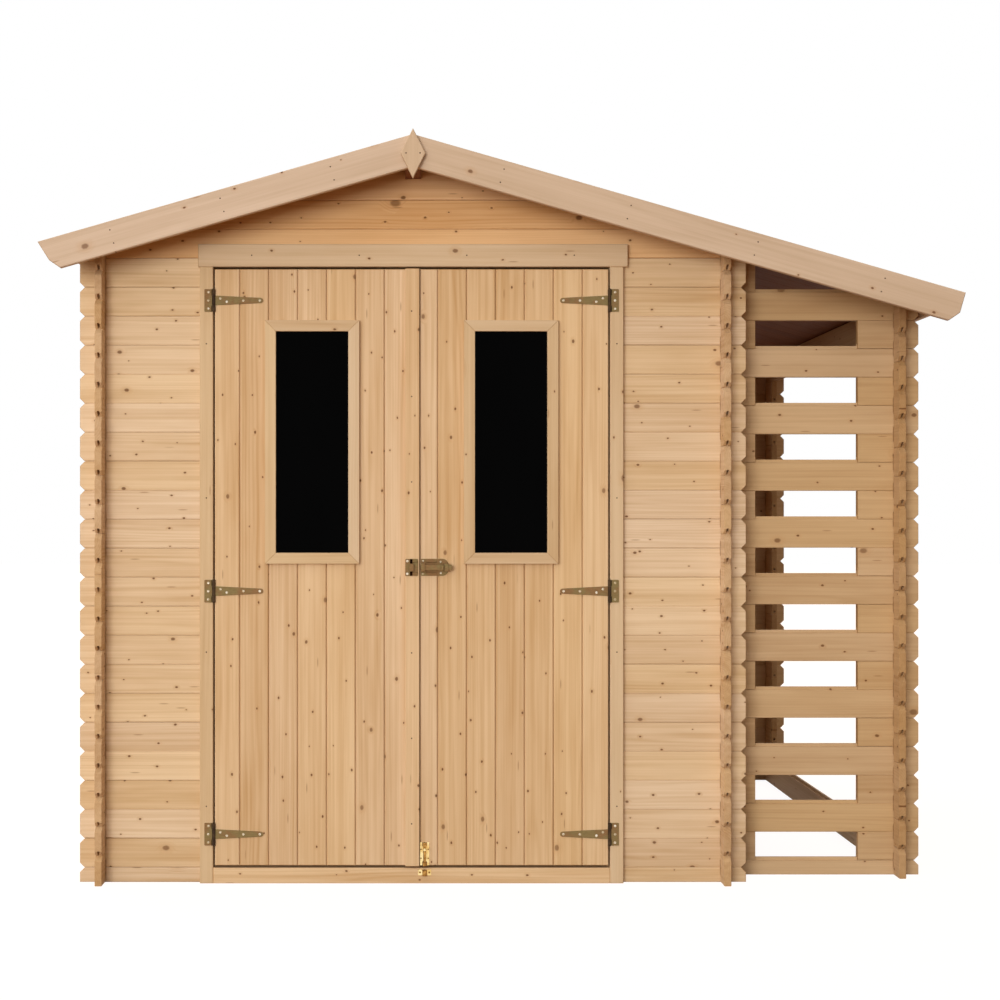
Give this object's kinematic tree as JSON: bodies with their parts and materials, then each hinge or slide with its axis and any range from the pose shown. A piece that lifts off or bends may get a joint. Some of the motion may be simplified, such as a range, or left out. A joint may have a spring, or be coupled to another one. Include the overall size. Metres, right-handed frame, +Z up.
{
  "type": "garden shed with log store",
  "caption": "Pine garden shed of interlocking planks with glazed double doors and a slatted, open-sided log store under the same gable roof.",
  "frame": {"origin": "on the ground, under the middle of the roof", "axes": "+X towards the log store, -Y towards the doors, +Z up"},
  "size_m": [2.618, 2.216, 2.1611],
  "materials": {
    "pine_planks": "planed, unfinished",
    "pine_boards": "planed, unfinished",
    "roofing_felt": "mineral felt",
    "dark_glass": "dark glazing",
    "passivated_steel": "yellow passivated zinc",
    "brass": "bright brass plate"
  },
  "bodies": {
    "shed": {"back_wall": "pine_planks", "bargeboards_left": "pine_planks", "bargeboards_right": "pine_planks", "barrel_bolt_keeper": "brass", "door_head": "pine_boards", "door_sill": "pine_boards", "eave_boards": "pine_planks", "finials": "pine_planks", "front_gable": "pine_planks", "front_wall_left": "pine_planks", "front_wall_right": "pine_planks", "hinge_plates": "passivated_steel", "left_jamb": "pine_boards", "left_wall": "pine_planks", "ridge_purlin": "pine_planks", "right_jamb": "pine_boards", "right_wall": "pine_planks", "roof_boards_left": "pine_planks", "roof_boards_right": "pine_planks", "roof_felt_left": "roofing_felt", "roof_felt_right": "roofing_felt", "store_back_blocks": "pine_planks", "store_back_slats": "pine_planks", "store_bottom_rail": "pine_planks", "store_corner_back": "pine_planks", "store_corner_front": "pine_planks", "store_front_blocks": "pine_planks", "store_front_slats": "pine_planks", "store_top_rail": "pine_planks", "store_wall_blocks": "pine_planks"},
    "left_door": {"left_door_boards": "pine_boards", "left_door_ledges": "pine_boards", "left_window_frames": "pine_boards", "left_window_glass": "dark_glass", "left_hinge_straps": "passivated_steel", "meeting_batten": "pine_boards", "padbolt_keeper": "passivated_steel"},
    "right_door": {"right_door_boards": "pine_boards", "right_door_ledges": "pine_boards", "right_window_frames": "pine_boards", "right_window_glass": "dark_glass", "right_hinge_straps": "passivated_steel", "padbolt_body": "passivated_steel", "barrel_bolt_body": "brass"},
    "padbolt": {"padbolt_bar": "passivated_steel"},
    "barrel_bolt": {"barrel_bolt_rod": "brass"}
  },
  "joints": [
    {"name": "left_door_hinge", "type": "hinge", "parent": "shed", "child": "left_door", "pos_m": [-0.831, -0.9445, 0.9], "axis": [0, 0, -1], "range_deg": [0, 150]},
    {"name": "right_door_hinge", "type": "hinge", "parent": "shed", "child": "right_door", "pos_m": [0.323, -0.9445, 0.9], "axis": [0, 0, 1], "range_deg": [0, 150]},
    {"name": "padbolt_slide", "type": "slide", "parent": "right_door", "child": "padbolt", "axis": [-1, 0, 0], "range_m": [0, 0.04]},
    {"name": "barrel_bolt_slide", "type": "slide", "parent": "right_door", "child": "barrel_bolt", "axis": [0, 0, -1], "range_m": [0, 0.028]}
  ]
}
